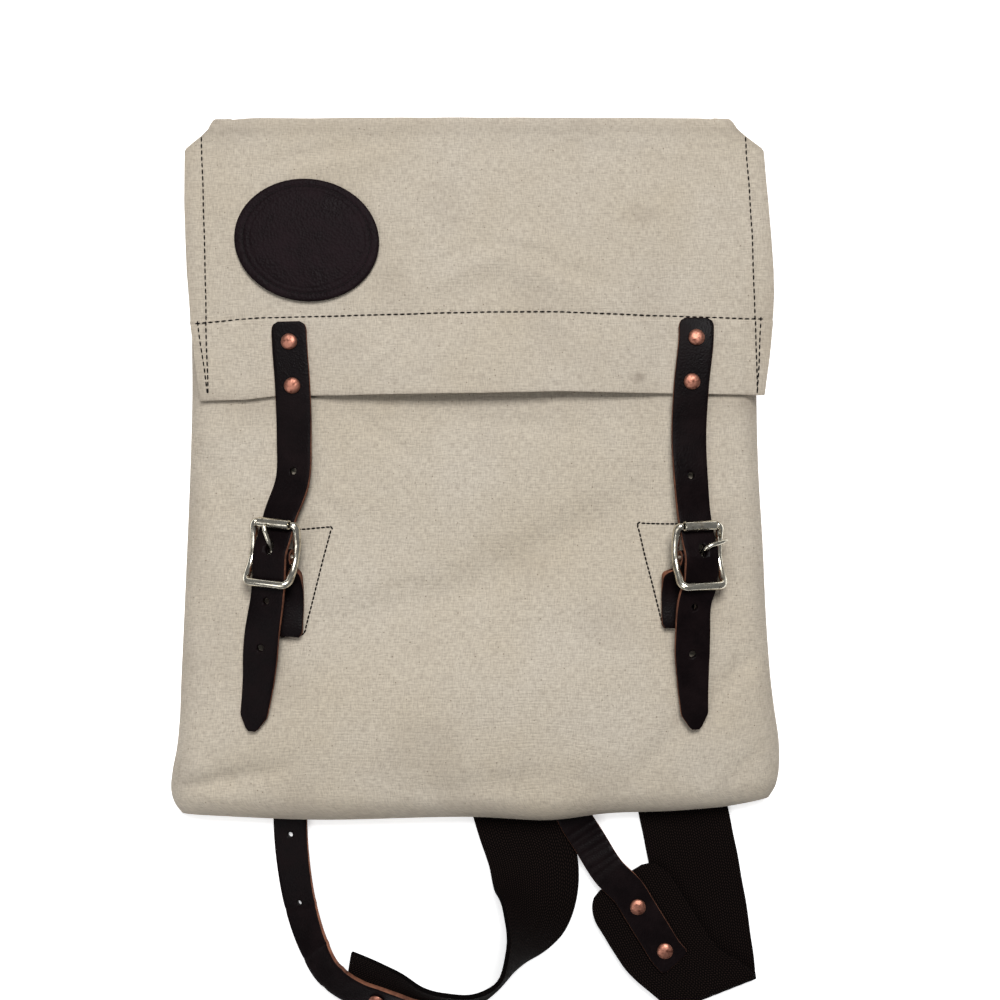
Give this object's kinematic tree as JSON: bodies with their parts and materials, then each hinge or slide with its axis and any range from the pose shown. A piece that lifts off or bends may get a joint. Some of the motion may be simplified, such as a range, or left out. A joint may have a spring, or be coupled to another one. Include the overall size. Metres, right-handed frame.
{
  "type": "canvas rucksack",
  "caption": "Soft canvas rucksack lying on its back, with a lid flap, an oval leather patch, buckled leather straps and webbing shoulder straps.",
  "frame": {"origin": "on the surface it lies on, under the middle of the bounding box", "axes": "+Y to the top of the bag, +X across it to the right as its front is seen, +Z from its back through its front"},
  "size_m": [0.3388, 0.5106, 0.05],
  "materials": {
    "canvas": "heavy natural cotton canvas",
    "leather": "smooth, dark brown, a little worn",
    "webbing": "ribbed dark brown cotton webbing",
    "nickel": "worn warm nickel plating on steel",
    "copper": "solid copper, a little dulled"
  },
  "bodies": {
    "root": {"bag_body": "canvas", "lid_flap": "canvas", "oval_patch": "leather", "closure_strap_left": "leather", "closure_rivet_left_upper": "copper", "closure_rivet_left_lower": "copper", "buckle_chape_left": "leather", "buckle_frame_left": "nickel", "buckle_roller_left": "nickel", "buckle_prong_left": "nickel", "closure_strap_right": "leather", "closure_rivet_right_upper": "copper", "closure_rivet_right_lower": "copper", "buckle_chape_right": "leather", "buckle_frame_right": "nickel", "buckle_roller_right": "nickel", "buckle_prong_right": "nickel", "shoulder_web_left": "webbing", "shoulder_billet_left": "leather", "billet_rivet_left_1": "copper", "billet_rivet_left_2": "copper", "shoulder_web_right": "webbing", "shoulder_billet_right": "leather", "billet_rivet_right_1": "copper", "billet_rivet_right_2": "copper", "yoke_patch": "leather", "yoke_rivet_1": "copper", "yoke_rivet_2": "copper", "yoke_rivet_3": "copper", "yoke_rivet_4": "copper", "lower_tab_left": "leather", "lower_buckle_left": "nickel", "lower_rivet_left": "copper", "lower_tab_right": "leather", "lower_buckle_right": "nickel", "lower_rivet_right": "copper"}
  },
  "joints": []
}
